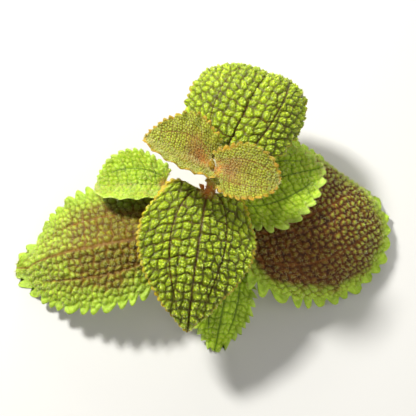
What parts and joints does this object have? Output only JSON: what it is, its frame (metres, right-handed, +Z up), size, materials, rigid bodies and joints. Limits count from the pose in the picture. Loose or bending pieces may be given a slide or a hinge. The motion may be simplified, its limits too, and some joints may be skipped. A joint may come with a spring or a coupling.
{
  "type": "friendship plant",
  "caption": "Leafy cut sprig of a friendship plant: a leaning stem with crossed pairs of drooping quilted leaves, resting on its lowest leaf tips and stem end.",
  "frame": {"origin": "middle of the footprint, on the surface that the sprig rests on", "axes": "+Z up, away from the surface; +X from the left lower leaf to the right lower leaf, the longest extent; -Y the way the front leaf points"},
  "size_m": [0.1547, 0.1097, 0.0749],
  "materials": {
    "stem": "reddish orange, softly hairy",
    "young_leaf": "yellow olive with a rust centre, finely hairy",
    "bright_leaf": "lime green quilted skin with a waxy sheen",
    "bronze_leaf": "rust brown with green bumps and a green margin, hairy",
    "light_leaf": "fresh light green with paler teeth"
  },
  "bodies": {
    "root": {"main_stem": "stem", "left_side_shoot": "stem", "right_side_shoot": "stem", "upper_stipule_left": "stem", "upper_stipule_right": "stem", "lower_stipule_front": "stem", "lower_stipule_back": "stem", "terminal_bud": "young_leaf", "left_shoot_bud": "young_leaf", "right_shoot_bud": "young_leaf", "young_leaf_left": "young_leaf", "young_leaf_right": "young_leaf", "back_leaf": "bright_leaf", "front_leaf": "bright_leaf", "lower_leaf_left": "bronze_leaf", "lower_leaf_right": "bronze_leaf", "side_leaf_left": "light_leaf", "side_leaf_front": "light_leaf", "side_leaf_right": "light_leaf", "side_leaf_right_inner": "light_leaf"}
  },
  "joints": []
}
